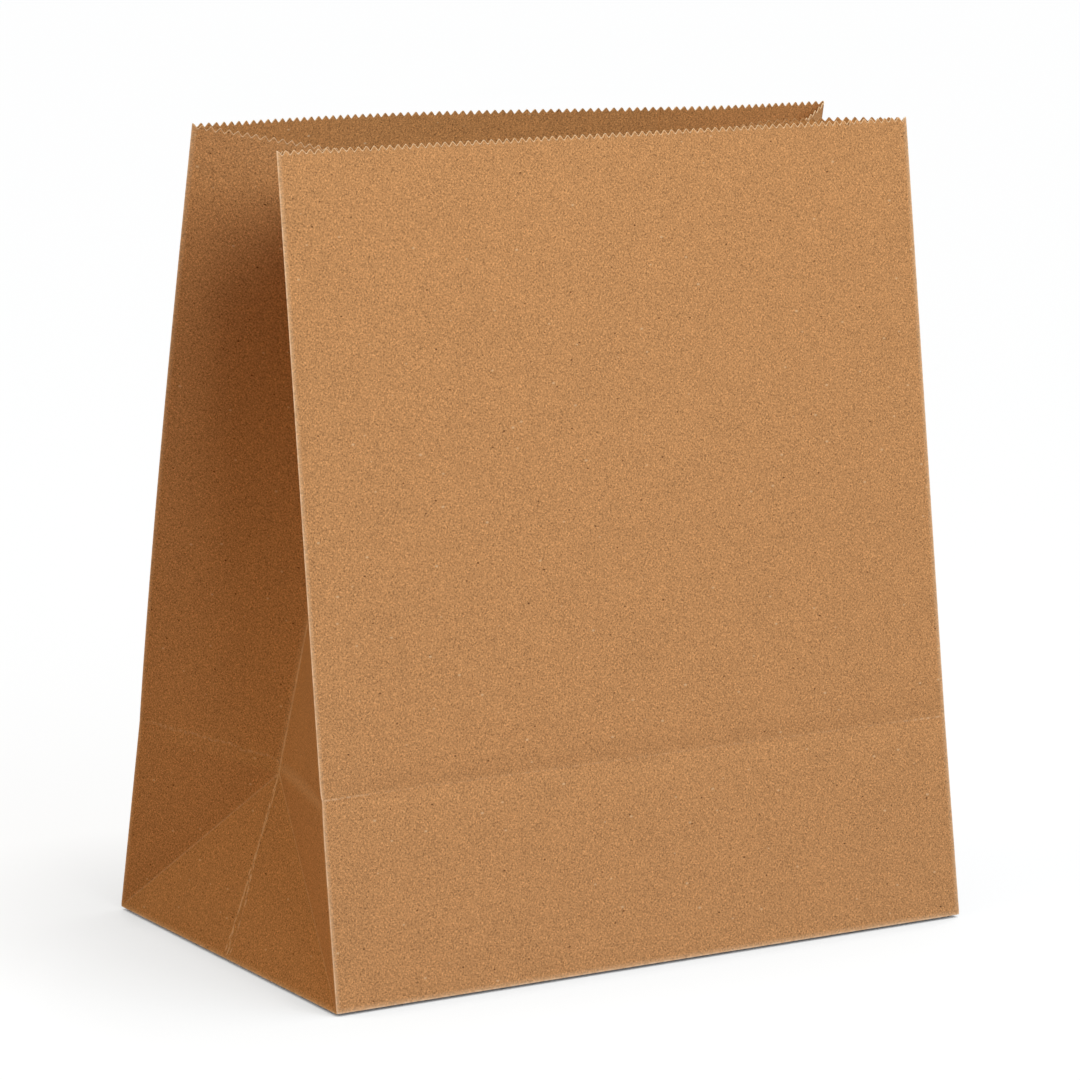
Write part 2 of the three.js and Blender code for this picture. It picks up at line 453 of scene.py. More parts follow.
    def row(self, face: Face, paper_height: float, places: Array) -> Array:
        """Return one piece's points at one height.

        Args:
            face: The piece of the tube.
            paper_height: The distance from the heel, along the paper.
            places: The X places or shares.

        Returns:
            One point for each place.
        """
        if face.side:
            return self.gusset_row(face, paper_height, places)
        return self.panel_row(face.panel, paper_height, places)

    def offsets(self, face: Face, paper_height: float, places: Array) -> tuple[Array, Array]:
        """Return how far the sheet's outer and inner faces stand off the drafted face.

        Args:
            face: The piece of the tube.
            paper_height: The distance from the heel, along the paper.
            places: The X places or shares.

        Returns:
            The outer and the inner distance for each place, outwards positive.
        """
        outer = np.full(len(places), self.paper)
        inner = np.zeros(len(places))
        if face.side:
            shift = self.paper * places * min(1.0, paper_height / self.layer_reach)
            return outer - shift, inner - shift
        if face is Face.BACK:
            beyond = np.clip((places - self.seam[1]) / self.seam_settle, 0, 1)
            settling = self.seam_layer * (1 - smooth_step(beyond))
            outer = np.where(places > self.seam[1] + TINY, outer - settling, outer)
            inner = np.where(places > self.seam[0] - TINY, inner - settling, inner)
        return outer, inner


@dataclass
class Walls:
    """The grid that drafts the tube's walls and the strip below their pinked edge."""

    tube: Tube
    seam_step: float = 0.06
    soft_rows: tuple[float, ...] = (2.0, 3.5, 5.5, 8.0, 11.0, 15.0, 20.0)
    row_step: float = 6.0
    rows_above: int = 30
    least_step: float = 0.04

    def __post_init__(self) -> None:
        """Choose the columns and the rows."""
        tube = self.tube
        half = tube.half_width
        even = np.linspace(-half, half, tube.panel_teeth + 1)
        extra = [sign * (half - margin) for sign in (-1, 1) for margin in tube.margins]
        extra += [tube.seam[0] - self.seam_step, tube.seam[1] + self.seam_step]
        self.xs = np.array(sorted([*even, *extra]))
        margins = np.array(tube.margins) / tube.half_depth
        even = np.linspace(0, 1, tube.gusset_teeth + 1)
        self.shares = np.array(sorted([*even, *margins, *(1 - margins)]))
        low = self.shares * tube.point_paper
        sharp_rows = (*(-margin for margin in tube.margins[::-1]), 0.0, *tube.margins)
        near = [tube.crease_paper + offset for offset in sharp_rows]
        middle = np.linspace(low[-1], near[0], 4)[1:3]
        soft = [tube.crease_paper + offset for offset in self.soft_rows]
        top = tube.panel_height - tube.pinking.strip
        high = np.linspace(soft[-1] + self.row_step, top, self.rows_above)
        self.heights = np.array([*low, *middle, *near, *soft, *high])

    def pieces(self, xs: Array, shares: Array) -> list[tuple[Face, Array]]:
        """Return the six pieces in order round the tube, each with its places in that order."""
        return [
            (Face.FRONT, xs), (Face.RIGHT_FRONT, shares), (Face.RIGHT_BACK, shares[::-1]),
            (Face.BACK, xs[::-1]), (Face.LEFT_BACK, shares), (Face.LEFT_FRONT, shares[::-1]),
        ]

    def ring(self, paper_height: float, xs: Array, shares: Array) -> tuple[Array, dict[str, Array]]:
        """Return the points of one ring and all of their marks.

        Args:
            paper_height: The distance from the heel, along the paper.
            xs: The X places on the long panels.
            shares: The places on each half gusset.

        Returns:
            The points, and the marks by name.
        """
        tube = self.tube
        points = []
        marks: dict[str, list[Array]] = {}
        around = 0.0
        behind = 3 * tube.half_width + 2 * tube.half_depth
        for face, places in self.pieces(xs, shares):
            length = tube.half_depth if face.side else 1.0
            across = np.abs(places - places[0]) * length
            outer, inner = tube.offsets(face, paper_height, places)
            edge = places * length if face.side else tube.half_width - np.abs(places)
            centre = (1 - places) * length if face.side else np.full(len(places), FAR)
            if face.side:
                teeth = places * tube.gusset_teeth
            else:
                teeth = (places + tube.half_width) / (2 * tube.half_width) * tube.panel_teeth
            whole = np.floor(teeth + TINY)
            values = {
                "outer": outer, "inner": inner, "around": around + across,
                "fold_mm": np.minimum(edge, paper_height), "valley_mm": self.valley(paper_height, centre),
                "mid_mm": np.abs(around + across - behind) - tube.half_width - tube.half_depth,
                "crease_mm": np.full(len(places), paper_height - tube.crease_paper),
                "rim_mm": np.full(len(places), tube.panel_height - paper_height),
                "phase": teeth - whole, "tooth": whole + FACE_TEETH * len(points),
            }
            points.append(tube.row(face, paper_height, places)[:-1])
            for name, value in values.items():
                marks.setdefault(name, []).append(value[:-1])
            around += across[-1]
        joined = {name: np.concatenate(value) for name, value in marks.items()}
        joined["round"] = np.full(len(joined["around"]), around)
        return np.concatenate(points), joined

    def valley(self, paper_height: float, centre: Array) -> Array:
        """Return the distance to a gusset's centre fold, or below its point to the diagonal.

        Args:
            paper_height: The distance from the heel, along the paper.
            centre: The distances across the paper to the centre fold.

        Returns:
            One distance for each place.
        """
        tube = self.tube
        if paper_height >= tube.point_paper:
            return centre
        across = 1 - centre / tube.half_depth
        diagonal = np.abs(across - paper_height / tube.point_paper) * tube.half_depth / math.sqrt(2)
        to_point = np.hypot(centre, tube.point_paper - paper_height)
        return np.where(centre > tube.half_depth, FAR, np.minimum(diagonal, to_point))

    def draft(self, draft: Draft) -> list[int]:
        """Add the walls to a draft.

        Args:
            draft: The draft that takes the faces.

        Returns:
            The index of every point of the pinked edge, in order.
        """
        first = []
        for height in self.heights:
            points, marks = self.ring(height, self.xs, self.shares)
            around = np.append(marks.pop("around"), marks.pop("round")[0])
            first.append(draft.add_points(points, rim=0.0, down=np.zeros((1, 3)), **marks))
        count = len(around) - 1
        diagonals = self.diagonals()
        cells = zip(range(len(first) - 1), self.heights[:-1], self.heights[1:])
        for row, low, high in cells:
            for i in range(count):
                j = (i + 1) % count
                quad = [first[row] + i, first[row] + j, first[row + 1] + j, first[row + 1] + i]
                left = around[i]
                right = around[i + 1]
                paper = [(left, low), (right, low), (right, high), (left, high)]
                rising = diagonals.get((row, i))
                if rising is None:
                    draft.add_face(tuple(quad), paper)
                    continue
                for cut in ((0, 1, 2), (0, 2, 3)) if rising else ((0, 1, 3), (1, 2, 3)):
                    draft.add_face(tuple(quad[k] for k in cut), [paper[k] for k in cut])
        return self.draft_strip(draft, first[-1])

    def diagonals(self) -> dict[tuple[int, int], bool]:
        """Return the cells that a gusset's 45 degree fold crosses.

        Returns:
            For each row and place in the ring, whether the fold rises along the ring.
        """
        cells = {}
        start = 0
        last = len(self.shares) - 1
        for face, places in self.pieces(self.xs, self.shares):
            inwards = places[0] < places[-1]
            for row in range(last if face.side else 0):
                cells[(row, start + (row if inwards else last - 1 - row))] = inwards
            start += len(places) - 1
        return cells

    def draft_strip(self, draft: Draft, below: int) -> list[int]:
        """Add the strip between the last row and the rim, whose rim has points for every tooth.

        Args:
            draft: The draft that takes the faces.
            below: The index of the last row's first point.

        Returns:
            The index of every point of the rim, in order.
        """
        tube = self.tube
        steps = tube.pinking.points
        tooth = 2 * tube.half_width / tube.panel_teeth
        fine = np.linspace(-tube.half_width, tube.half_width, tube.panel_teeth * steps + 1)
        xs = mixed_in(fine, self.xs, tooth * self.least_step)
        fine = np.linspace(0, 1, tube.gusset_teeth * steps + 1)
        shares = mixed_in(fine, self.shares, self.least_step / tube.gusset_teeth)
        top, marks = self.ring(tube.panel_height, xs, shares)
        foot, _ = self.ring(tube.panel_height - tube.pinking.strip, xs, shares)
        down = (foot - top) / tube.pinking.strip
        around = np.append(marks.pop("around"), marks.pop("round")[0])
        collar = tube.pinking.collar
        first = draft.add_points(top + down * collar, rim=1.0, down=down, **(marks | {"rim_mm": collar}))
        rim = draft.add_points(top, rim=1.0, down=down, **marks)
        fine_index = []
        start = 0
        for (_, rough), (_, close) in zip(self.pieces(self.xs, self.shares), self.pieces(xs, shares)):
            fine_index += [start + int(np.abs(close - place).argmin()) for place in rough[:-1]]
            start += len(close) - 1
        count = len(fine_index)
        fine_index.append(start)
        low = self.heights[-1]
        high = tube.panel_height
        neck = high - collar
        for i in range(count):
            span = range(fine_index[i], fine_index[i + 1] + 1)
            upper = [first + k % start for k in reversed(span)]
            coarse = [below + i, below + (i + 1) % count]
            paper = [(around[span[0]], low), (around[span[-1]], low)]
            paper += [(around[k], neck) for k in reversed(span)]
            draft.add_face((*coarse, *upper), paper)
        for k in range(start):
            after = (k + 1) % start
            left = around[k]
            right = around[k + 1]
            paper = [(left, neck), (right, neck), (right, high), (left, high)]
            draft.add_face((first + k, first + after, rim + after, rim + k), paper)
        return [rim + k for k in range(start)]


@dataclass
class Bottom:
    """The floor of the bag, and the two flaps that close it below like an envelope."""

    tube: Tube
    xs: Array
    shares: Array
    overlap: float = 22.0
    heel: float = 1.0
    gap: float = 0.02
    edge_reach: float = 9.0
    lap_half_width: float = 80.0
    lap_half_depth: float = 46.0
    lap_fade: tuple[float, float] = (25.0, 30.0)
    cells: int = 26
    floor_place: float = 1000.0
    flap_place: float = 2000.0

    def lap(self, x: Array, y: Array) -> Array:
        """Return how far the floor stands up over the lap of the flaps.

        Args:
            x: The places' X.
            y: The places' Y.

        Returns:
            One height for each place.
        """
        wide, deep = self.lap_fade
        across = smooth_step((self.lap_half_width - np.abs(x)) / wide)
        return self.tube.paper * (across * smooth_step((self.lap_half_depth - np.abs(y)) / deep))

    def edge(self, x: Array, y: Array) -> Array:
        """Return the distance to the nearest edge of the base."""
        return np.minimum(self.tube.half_width - np.abs(x), self.tube.half_depth - np.abs(y))

    def lift(self, x: Array, y: Array) -> Array:
        """Return how far the base bends up from the floor towards its edge."""
        return self.tube.edge_lift * (1 - smooth_step(self.edge(x, y) / self.edge_reach))

    def marks(self) -> dict[str, Array | float]:
        """Return the marks of paper that lies far from the walls' folds and teeth."""
        far = dict.fromkeys(("valley_mm", "mid_mm", "rim_mm"), FAR)
        return far | {"crease_mm": -FAR, "rim": 0.0, "down": np.zeros((1, 3)), "phase": 0.0, "tooth": 0.0}

    def corner(self, column: int, row: int, last: tuple[int, int], first: int) -> int:
        """Return the index of a point of the floor, whose edge belongs to the walls.

        Args:
            column: The point's column.
            row: The point's row, 0 at the front.
            last: The last column and the last row.
            first: The index of the first point inside the edge.

        Returns:
            The index in the draft.
        """
        wide, deep = last
        if row == 0:
            return column
        if column == wide:
            return wide + row
        if row == deep:
            return 2 * wide + deep - column
        if column == 0:
            return (2 * wide + 2 * deep - row) % (2 * (wide + deep))
        return first + (column - 1) * (deep - 1) + row - 1

    def draft(self, draft: Draft) -> None:
        """Add the floor.

        Args:
            draft: The draft that takes it, whose first points are the walls' lowest ring.
        """
        tube = self.tube
        half = self.shares - 1
        ys = np.concatenate([half, -half[::-1][1:]]) * tube.half_depth
        grid = np.meshgrid(self.xs[1:-1], ys[1:-1], indexing="ij")
        x, y = (place.ravel() for place in grid)
        z = 2 * tube.paper + self.lift(x, y) + self.lap(x, y)
        marks = self.marks() | {"outer": tube.paper, "inner": 0.0, "fold_mm": self.edge(x, y)}
        first = draft.add_points(np.column_stack([x, y, z]), **marks)
        last = (len(self.xs) - 1, len(ys) - 1)
        for i in range(last[0]):
            for j in range(last[1]):
                corners = [(i, j), (i, j + 1), (i + 1, j + 1), (i + 1, j)]
                paper = [(self.xs[a] + self.floor_place, ys[b]) for a, b in corners]
                draft.add_face(tuple(self.corner(a, b, last, first) for a, b in corners), paper)

    def flap(self, draft: Draft, panel: int, raised: bool) -> None:
        """Add one flap below the floor, a closed slab with ends cut at 45 degrees.

        Args:
            draft: The draft that takes the slab.
            panel: The sign of the panel that the flap continues.
            raised: Whether this flap lies over the other one, on the bag's side.
        """
        tube = self.tube
        last = self.cells
        size = last + 1
        down_y = np.linspace(self.heel, tube.half_depth + self.overlap / 2, size)
        t, u = np.meshgrid(down_y, np.linspace(-1, 1, size), indexing="ij")
        x = u * (tube.half_width - t)
        y = panel * (tube.half_depth - t)
        low = self.lift(x, y) + (self.lap(x, y) if raised else 0.0)
        high = low + tube.paper - self.gap
        layers = [np.column_stack([x.ravel(), y.ravel(), z.ravel()]) for z in (low, high)]
        first = [draft.add_points(points, fold_mm=t.ravel(), **self.marks()) for points in layers]
        faces = []
        for i in range(last):
            for j in range(last):
                cell = [(i, j), (i + 1, j), (i + 1, j + 1), (i, j + 1)][::-panel]
                faces.append([(0, at) for at in cell])
                faces.append([(1, at) for at in cell[::-1]])
        loop = [(i, 0) for i in range(last)] + [(last, j) for j in range(last)]
        loop += [(i, last) for i in range(last, 0, -1)] + [(0, j) for j in range(last, 0, -1)]
        loop = loop[::-panel]
        for a, b in zip(loop, loop[1:] + loop[:1]):
            faces.append([(1, a), (1, b), (0, b), (0, a)])
        for face in faces:
            corners = tuple(first[layer] + i * size + j for layer, (i, j) in face)
            draft.add_face(corners, [(x[at] + self.flap_place * panel, y[at]) for _, at in face])


class NodeBoard:
    """A node tree with short calls that add, set and join its nodes."""

    def __init__(self, tree: bpy.types.NodeTree) -> None:
        """Keep the tree and clear it."""
        self.tree = tree
        tree.nodes.clear()

    def add(self, kind: str, inputs: dict[int | str, Any] | None = None, **settings: Any) -> bpy.types.Node:
        """Add a node.

        Args:
            kind: The node's type name.
            inputs: A value or a socket for each named or numbered input.
            settings: The node's own properties.

        Returns:
            The new node.
        """
        node = self.tree.nodes.new(kind)
        for name, value in settings.items():
            setattr(node, name, value)
        for key, value in (inputs or {}).items():
            if isinstance(value, Socket):
                self.tree.links.new(value, node.inputs[key])
            else:
                node.inputs[key].default_value = value
        return node

    def math(self, operation: str, first: Any, *others: Any) -> Socket:
        """Return values joined one after the other by one operation, or one value that it changes.

        Args:
            operation: The Math node's operation.
            first: A value or a socket.
            others: The values or sockets that follow it.

        Returns:
            The result.
        """
        if not others:
            return self.add("ShaderNodeMath", {0: first}, operation=operation).outputs[0]
        for other in others:
            first = self.add("ShaderNodeMath", {0: first, 1: other}, operation=operation).outputs[0]
        return first

    def times(self, *values: Any) -> Socket:
        """Return the product of values."""
        return self.math("MULTIPLY", *values)

    def plus(self, *values: Any) -> Socket:
        """Return the sum of values."""
        return self.math("ADD", *values)

    def minus(self, value: Any, other: Any) -> Socket:
        """Return one value less another."""
        return self.math("SUBTRACT", value, other)

    def most(self, *values: Any) -> Socket:
        """Return the largest of values."""
        return self.math("MAXIMUM", *values)

    def unsigned(self, value: Socket) -> Socket:
        """Return a value without its sign."""
        return self.math("ABSOLUTE", value)

    def centred(self, value: Socket) -> Socket:
        """Return a value whose mean is 0.5, moved to a mean of 0."""
        return self.minus(value, 0.5)

    def mix(self, share: Socket, under: Any, over: Any) -> Socket:
        """Return the colour under, covered by the colour over by this share."""
        return self.add("ShaderNodeMix", {0: share, 6: under, 7: over}, data_type="RGBA").outputs[2]

    def ramp(self, value: Socket, low: Any, high: Any, start: Any = 0.0, end: Any = 1.0) -> Socket:
        """Return a value carried softly from one range to another and held at its ends."""
        values = {"Value": value, "From Min": low, "From Max": high, "To Min": start, "To Max": end}
        return self.add("ShaderNodeMapRange", values, interpolation_type="SMOOTHSTEP").outputs["Result"]

    def line(self, distance: Socket, width: Any) -> Socket:
        """Return the mask that is 1 on a line and 0 from this distance on."""
        return self.ramp(distance, 0.0, width, 1.0, 0.0)

    def noise(self, place: Socket, size: float, detail: float = 2.0, turn: float = 0.0) -> Socket:
        """Return a flat noise over places in millimetres.

        Args:
            place: The places.
            size: The length of its largest features.
            detail: The number of finer copies.
            turn: The angle that sets one noise apart from another.

        Returns:
            The noise, about 0.5 on average.
        """
        turned = self.add("ShaderNodeMapping", {
            "Vector": place, "Location": (91 * turn, 57 * turn, 0), "Rotation": (0, 0, turn)})
        values = {"Vector": turned.outputs[0], "Scale": 1 / size, "Detail": detail, "Roughness": 0.6}
        return self.add("ShaderNodeTexNoise", values, noise_dimensions="2D").outputs[0]


def new_group(name: str, kind: str, inputs: dict[str, str], outputs: dict[str, str]) -> bpy.types.NodeTree:
    """Return a new node group with named sockets.

    Args:
        name: The group's name.
        kind: The tree's type name.
        inputs: The socket type of each input by name.
        outputs: The socket type of each output by name.

    Returns:
        The group's tree.
    """
    group = bpy.data.node_groups.new(name, kind)
    for way, sockets in (("INPUT", inputs), ("OUTPUT", outputs)):
        for socket, socket_type in sockets.items():
            group.interface.new_socket(name=socket, in_out=way, socket_type=socket_type)
    return group


@dataclass(frozen=True)
class PaperFinish:
    """How one side of the sheet looks. Colours are linear."""

    name: str
    color: Point
    # colour of the worn fold lines and of the painted highlight band on the gussets' front halves
    fold_wear_and_highlight_color: Point = (0.84, 0.62, 0.42)
    # painted highlight along the cut rim, as if its edge caught the light
    cut_highlight_color: Point = (0.86, 0.66, 0.45)
    speck_color: Point = (0.12, 0.05, 0.02)
    fleck_color: Point = (0.72, 0.52, 0.32)
    fleck_strength: float = 0.6
    mottle: float = 0.1
    fibre: float = 1.12
    wear: float = 0.85
    # strength of the painted highlight along the cut rim
    cut: float = 0.9
    roughness: float = 0.9
    shine: float = 0.15
    bump: float = 1.0


FINISHES = {
    Finish.OUTSIDE: PaperFinish("kraft_outside", (0.51, 0.27, 0.116)),
    # the inside is a deeper, more saturated copy of the kraft colour, painted shade of the bag's inside,
    # with fainter worn lines and rim highlight
    Finish.INSIDE: PaperFinish("kraft_inside", (0.50, 0.235, 0.085), wear=0.3, cut=0.25),
    # the cut face is coloured light cream as a painted highlight
    Finish.CUT_EDGE: PaperFinish("kraft_cut_edge", (0.8, 0.6, 0.4), wear=0.0, cut=0.5),
}


@dataclass(frozen=True)
class PaperFibres:
    """The sizes in millimetres and strengths of the paper's fibres, cloudiness and grains."""

    mottle_size: float = 17.0
    patch_size: float = 4.25
    patch_height: float = 0.15
    grain_size: float = 0.62
    grain_height: float = 0.05
    strand_size: float = 0.93
    strand_share: float = 0.06
    strand_height: float = 0.02
    weave: float = 0.36
    speck_spacing: float = 12.0
    speck_size: float = 0.5
    fleck_spacing: float = 13.0
    fleck_size: float = 0.7
    dot_shape: Point = (1.0, 1.6, 1.0)
    dot_chance: float = 0.4
    least_radius: float = 0.0001

    def strands(self, board: NodeBoard, place: Socket, turn: float) -> Socket:
        """Return the mask of thin curling fibres, which run where a noise crosses its mean."""
        level = board.noise(place, self.strand_size, 1.0, turn)
        return board.line(board.unsigned(board.centred(level)), self.strand_share)

    def dots(self, board: NodeBoard, place: Socket, spacing: float, size: float, turn: float) -> Socket:
        """Return the mask of scattered grains.

        Args:
            board: The tree that takes the nodes.
            place: The places.
            spacing: The distance from one grain to the next.
            size: The radius of the largest grains.
            turn: The angle that sets one kind of grain apart from another.

        Returns:
            The mask, 1 on a grain.
        """
        turned = board.add("ShaderNodeMapping", {
            "Vector": place, "Rotation": (0, 0, turn), "Scale": self.dot_shape}).outputs[0]
        cells = board.add(
            "ShaderNodeTexVoronoi", {"Vector": turned, "Scale": 1 / spacing}, voronoi_dimensions="2D")
        parts = board.add("ShaderNodeSeparateColor", {"Color": cells.outputs["Color"]})
        radius = board.ramp(parts.outputs[0], self.dot_chance, 1.0, self.least_radius, size / spacing)
        return board.ramp(board.math("DIVIDE", cells.outputs["Distance"], radius), 0.5, 1.0, 1.0, 0.0)

    def group(self) -> bpy.types.NodeTree:
        """Return the group that draws fibres, cloudiness and grains over places in millimetres.

        Returns:
            The group, with a tone, two masks of grains and a height.
        """
        tree = new_group(
            "paper_fibres", "ShaderNodeTree",
            {"Place": "NodeSocketVector", "Mottle": "NodeSocketFloat", "Fibre": "NodeSocketFloat"},
            dict.fromkeys(("Tone", "Specks", "Flecks", "Height"), "NodeSocketFloat"))
        board = NodeBoard(tree)
        given = board.add("NodeGroupInput").outputs
        place = given["Place"]
        patch = board.noise(place, self.patch_size, 3.0, 0.7)
        cloud = board.plus(board.centred(board.noise(place, self.mottle_size, 4.0)), board.centred(patch))
        grain = board.noise(place, self.grain_size, 2.0, 1.9)
        light = self.strands(board, place, 0.9)
        dark = self.strands(board, place, 2.3)
        weave = board.times(board.minus(light, dark), self.weave)
        fine = board.times(board.plus(board.centred(grain), weave), given["Fibre"])
        board.add("NodeGroupOutput", {
            "Tone": board.plus(board.times(cloud, given["Mottle"]), fine, 1.0),
            "Specks": self.dots(board, place, self.speck_spacing, self.speck_size, 0.4),
            "Flecks": self.dots(board, place, self.fleck_spacing, self.fleck_size, 1.3),
            "Height": board.plus(
                board.times(grain, self.grain_height), board.times(light, self.strand_height),
                board.times(patch, self.patch_height))})
        return tree


@dataclass(frozen=True)
class Strand:
    """One worn line that wanders down from a gusset's point."""

    turn: float
    aside: float
    strength: float


@dataclass(frozen=True)
class FoldWearAndPaintedLight:
    """The widths in millimetres and strengths of the marks that folding leaves on the paper, and of painted
    light: painted shade above the front crease with painted highlight below it, and painted highlight on
    each gusset's front half and along the cut rim.

    Crease is the height along the paper above the crease of the flat-folded bag. Mid is the distance
    across a gusset from its centre fold, positive on its front half.
    """

    base: float
    gusset: float
    line: float = 0.5
    broken_size: float = 2.6
    ragged_size: float = 1.6
    halo: float = 1.6
    halo_strength: float = 0.3
    valley_width: float = 1.0
    valley_strength: float = 0.75
    low_valley_strength: float = 0.35
    valley_band: float = 3.0
    valley_band_strength: float = 0.16
    strands: tuple[Strand, ...] = (Strand(0.5, 1.1, 0.8), Strand(1.7, -1.2, 0.65), Strand(2.9, 0.1, 0.8))
    above_point: tuple[float, float] = (-8.0, -3.0)
    below_point: tuple[float, float] = (-6.5, -4.5)
    strand_wander: float = 5.0
    strand_wave: float = 15.0
    strand_patch: float = 3.4
    strand_fan: float = 0.25
    strand_fan_end: float = -18.0
    # painted highlight band on the gusset's front half, where the paper between the point and the crease
    # faces up
    front_highlight_band: float = 3.6
    front_highlight_drop: float = 1.8
    front_highlight_strength: float = 0.17
    back_strand: float = 0.8
    back_strand_wander: float = 3.5
    back_strand_wave: float = 14.0
    back_strand_strength: float = 0.3
    crease_strength: float = 0.12
    crease_end_strength: float = 0.5
    crease_end: tuple[float, float] = (6.0, 22.0)
    # painted shade above the crease and painted highlight below it reach this far from the crease
    crease_shade_band: float = 9.0
    painted_highlight_below: float = 0.035
    painted_shade_above: float = -0.055
    foot_ridge: float = 2.2
    foot_height: float = 0.35
    crease_ridge: float = 1.4
    crease_height: float = 0.1
    # width of the painted highlight along the cut rim
    cut_highlight_line: float = 0.38

    def foot(self, board: NodeBoard, given: dict[str, Socket], below: Socket) -> Socket:
        """Return the strands of the lower centre fold, which fan out towards the base.

        Args:
            board: The tree that takes the nodes.
            given: The group's inputs by name.
            below: The mask of the paper between the point and the base.

        Returns:
            The mask of the strands.
        """
        place = given["Place"]
        fan = board.ramp(given["Crease"], -self.base, self.strand_fan_end, 1.0, self.strand_fan)
        masks = []
        for strand in self.strands:
            wander = board.centred(board.noise(place, self.strand_wave, 2.0, strand.turn))
            wander = board.plus(board.times(wander, self.strand_wander), strand.aside)
            wander = board.times(wander, fan)
            mask = board.line(board.unsigned(board.plus(given["Mid"], wander)), self.line)
            patchy = board.noise(place, self.strand_patch, 2.0, strand.turn + 1)
            masks.append(board.times(mask, board.ramp(patchy, 0.44, 0.6, 0.1, strand.strength), below))
        return board.most(*masks)

    def valley(self, board: NodeBoard, given: dict[str, Socket], broken: Socket) -> Socket:
        """Return the worn line of a gusset's centre fold and of the diagonals below it.

        Args:
            board: The tree that takes the nodes.
            given: The group's inputs by name.
            broken: The noise that breaks up a line.

        Returns:
            The mask, wider and stronger above the gusset's point.
        """
        above = board.ramp(given["Crease"], *self.above_point)
        width = board.ramp(above, 0.0, 1.0, self.line, self.valley_width)
        strength = board.ramp(above, 0.0, 1.0, self.low_valley_strength, self.valley_strength)
        sharp = board.times(board.line(given["Valley"], width), broken, strength)
        soft = board.times(
            board.line(given["Valley"], self.valley_band), board.times(above, self.valley_band_strength))
        return board.most(sharp, soft)

    def gusset_crease(self, board: NodeBoard, given: dict[str, Socket], ragged: Socket,
                      halves: tuple[Socket, Socket]) -> Socket:
        """Return the crease where it runs round a gusset, with a painted highlight band on its front half.

        Args:
            board: The tree that takes the nodes.
            given: The group's inputs by name.
            ragged: The noise that breaks up the crease.
            halves: The masks of the gusset's front and back half.

        Returns:
            The mask, a soft band in front and a wandering line behind.
        """
        # painted highlight band on the front half
        band = board.unsigned(board.plus(given["Crease"], self.front_highlight_drop))
        band = board.times(board.line(band, self.front_highlight_band), halves[0], self.front_highlight_strength)
        bend = board.centred(board.noise(given["Place"], self.back_strand_wave, 2.0, 0.2))
        bend = board.plus(given["Crease"], board.times(bend, self.back_strand_wander))
        strand = board.times(board.line(board.unsigned(bend), self.back_strand), halves[1])
        return board.most(band, board.times(strand, board.times(ragged, self.back_strand_strength)))

    def group(self) -> bpy.types.NodeTree:
        """Return the group that turns distances from the folds into worn lines, painted shade and highlight,
        and height.

        Returns:
            The group, with the mask of worn folds and the painted highlight band, the mask of painted
            highlight along the cut edge, a tone of painted shade above the crease and painted highlight
            below it, and a height.
        """
        tree = new_group(
            "fold_wear_and_painted_light", "ShaderNodeTree",
            {"Place": "NodeSocketVector", **dict.fromkeys(FOLD_MARKS, "NodeSocketFloat")},
            dict.fromkeys(("Wear And Highlight", "Cut", "Tone", "Height"), "NodeSocketFloat"))
        board = NodeBoard(tree)
        given = {socket.name: socket for socket in board.add("NodeGroupInput").outputs if socket.name}
        place = given["Place"]
        along = given["Crease"]
        mid = given["Mid"]
        broken = board.ramp(board.noise(place, self.broken_size, 3.0, 0.3), 0.36, 0.6, 0.6, 1.0)
        ragged = board.ramp(board.noise(place, self.ragged_size, 2.0, 1.1), 0.42, 0.6, 0.1, 1.0)
        below = board.times(
            board.ramp(along, *self.below_point, 1.0, 0.0),
            board.ramp(along, -self.base - 0.6, -self.base + 0.4))
        front = board.times(
            board.ramp(mid, 0.0, 2.0), board.ramp(mid, self.gusset - 1.25, self.gusset - 0.25, 1.0, 0.0))
        back = board.times(
            board.ramp(mid, -0.5, 0.0, 1.0, 0.0), board.ramp(mid, 0.25 - self.gusset, 1.25 - self.gusset))
        on_panel = board.minus(1.0, board.most(front, back))
        away = board.unsigned(along)
        near_end = board.ramp(
            given["Fold"], *self.crease_end, self.crease_end_strength, self.crease_strength)
        # worn lines, joined by the painted highlight band on the gussets' front halves
        worn = board.most(
            board.times(board.line(given["Fold"], self.line), broken),
            board.times(board.line(given["Fold"], self.halo), self.halo_strength),
            self.valley(board, given, broken),
            self.foot(board, given, below),
            self.gusset_crease(board, given, ragged, (front, back)),
            board.times(board.line(away, self.line), board.times(ragged, near_end), on_panel))
        # painted light: a tone that paints shade on the panels above the crease and a highlight below it
        side = board.ramp(along, -0.6, 0.6, self.painted_highlight_below, self.painted_shade_above)
        tone = board.times(side, board.line(away, self.crease_shade_band), on_panel)
        ridge = board.times(board.line(board.unsigned(mid), self.foot_ridge), below, self.foot_height)
        height = board.plus(ridge, board.times(board.line(away, self.crease_ridge), self.crease_height))
        board.add("NodeGroupOutput", {
            # the cut mask is painted highlight along the cut rim
            "Wear And Highlight": worn, "Cut": board.line(given["Rim"], self.cut_highlight_line),
            "Tone": board.plus(tone, 1.0), "Height": height})
        return tree


